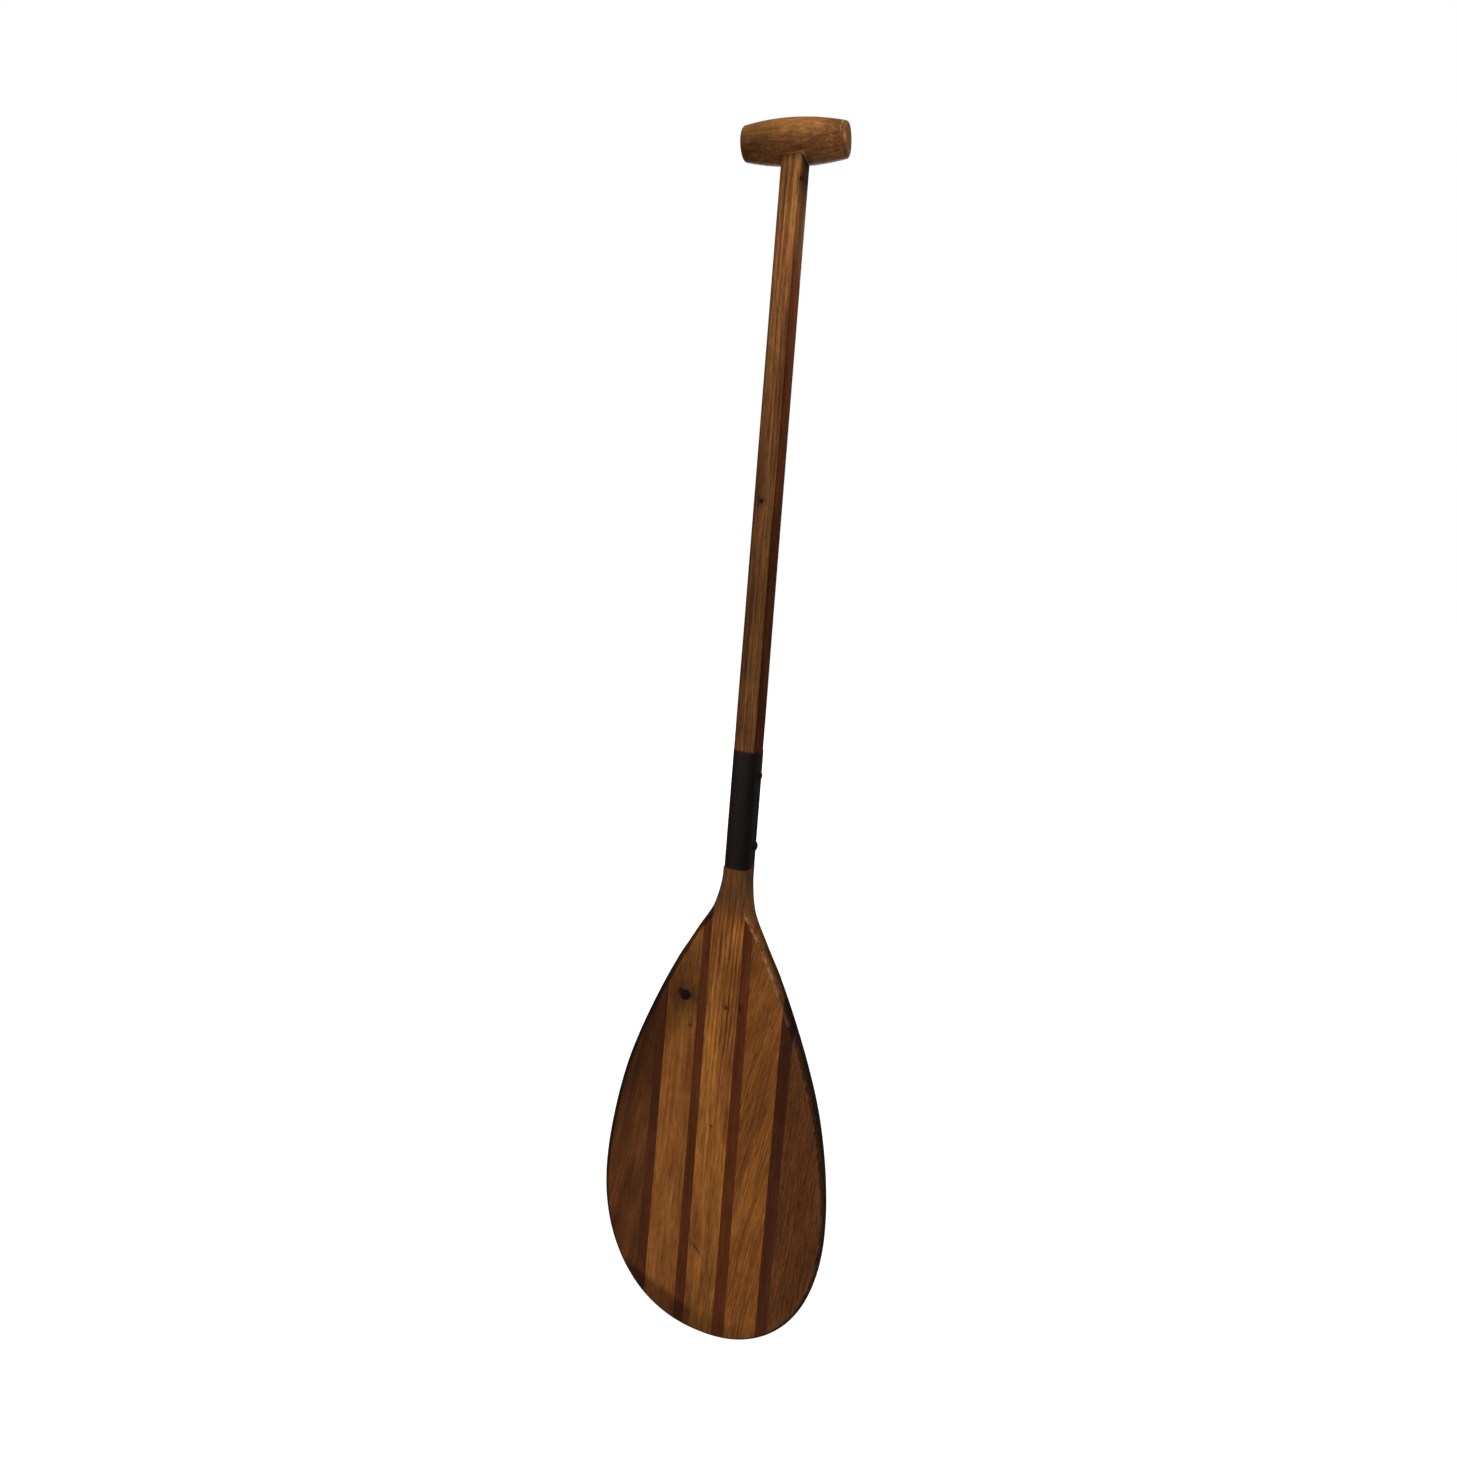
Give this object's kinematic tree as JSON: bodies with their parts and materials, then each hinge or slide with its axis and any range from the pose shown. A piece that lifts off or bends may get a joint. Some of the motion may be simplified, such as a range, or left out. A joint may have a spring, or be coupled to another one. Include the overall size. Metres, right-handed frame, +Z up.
{
  "type": "canoe paddle",
  "caption": "Single-bladed wooden paddle: barrel T-grip, laminated shaft, black joint sleeve with side screws, and a wide teardrop blade of edge-glued strips.",
  "frame": {"origin": "under the middle of the paddle's box, at the height of the blade's tip", "axes": "+Z runs up the shaft from the blade's tip to the grip; the blade's flat power face looks toward -Y; +X is to the right as that face is looked at"},
  "size_m": [0.252, 0.0506, 1.302],
  "materials": {
    "grip_wood": "oiled, worn smooth by hands",
    "light_wood": "aged clear varnish",
    "accent_wood": "aged clear varnish over a dark red-brown wood",
    "edge_wood": "aged clear varnish over a mid-brown wood",
    "sleeve_metal": "matt black coating",
    "screw_metal": "black"
  },
  "bodies": {
    "root": {"t_grip": "grip_wood", "shaft_core": "light_wood", "shaft_lamination_left": "accent_wood", "shaft_lamination_right": "accent_wood", "joint_sleeve": "sleeve_metal", "sleeve_screw_upper": "screw_metal", "sleeve_screw_lower": "screw_metal", "blade_centre_plank": "light_wood", "blade_accent_inner_left": "accent_wood", "blade_accent_inner_right": "accent_wood", "blade_accent_outer_left": "accent_wood", "blade_accent_outer_right": "accent_wood", "blade_plank_left": "light_wood", "blade_plank_right": "light_wood", "blade_edge_plank_left": "edge_wood", "blade_edge_plank_right": "edge_wood"}
  },
  "joints": []
}
